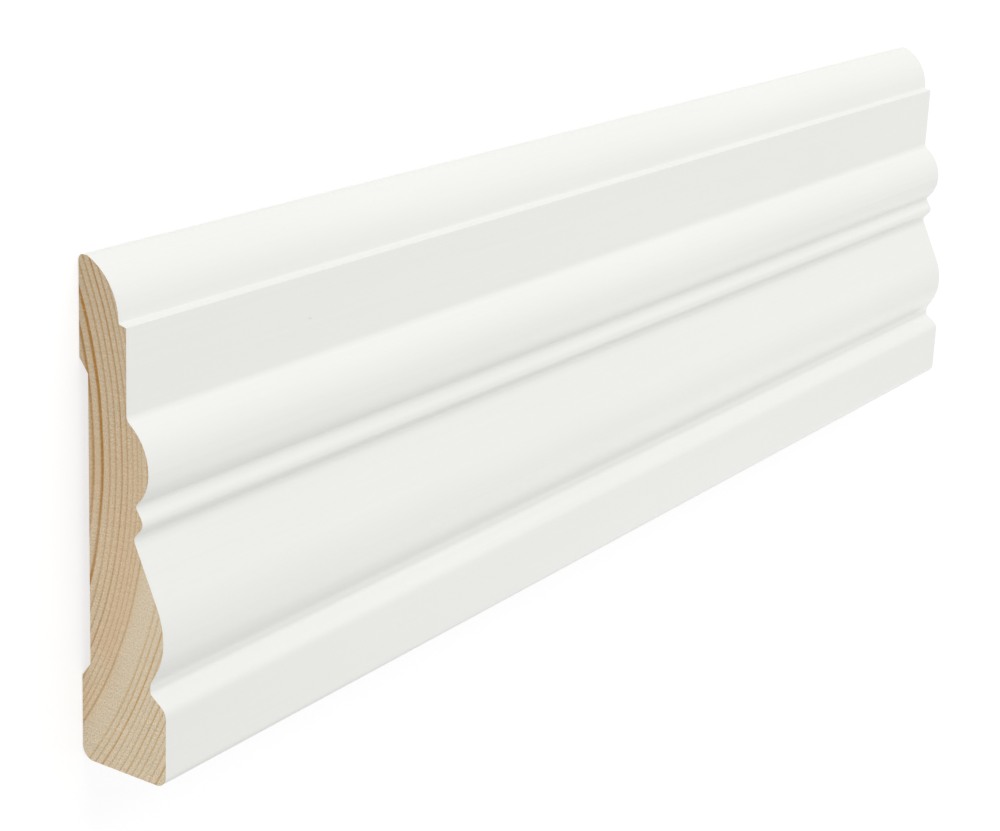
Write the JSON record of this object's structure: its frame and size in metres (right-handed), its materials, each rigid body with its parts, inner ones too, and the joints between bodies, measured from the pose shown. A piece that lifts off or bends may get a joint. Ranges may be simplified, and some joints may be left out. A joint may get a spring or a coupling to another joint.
{
  "type": "door lining board",
  "caption": "Short length of white painted softwood door lining board with a moulded face, a stepped thin edge and a shallow relief groove along its back.",
  "frame": {"origin": "on the floor plane under the middle of the board, which lies on its back", "axes": "+X along the length, +Y across the width from the thick edge to the thin edge, +Z out of the moulded face"},
  "size_m": [0.34, 0.095, 0.02],
  "materials": {
    "painted_softwood": "white satin paint on the face and both long edges, bare pale pine at the cut ends and on the back"
  },
  "bodies": {
    "root": {"lining_board": "painted_softwood"}
  },
  "joints": []
}
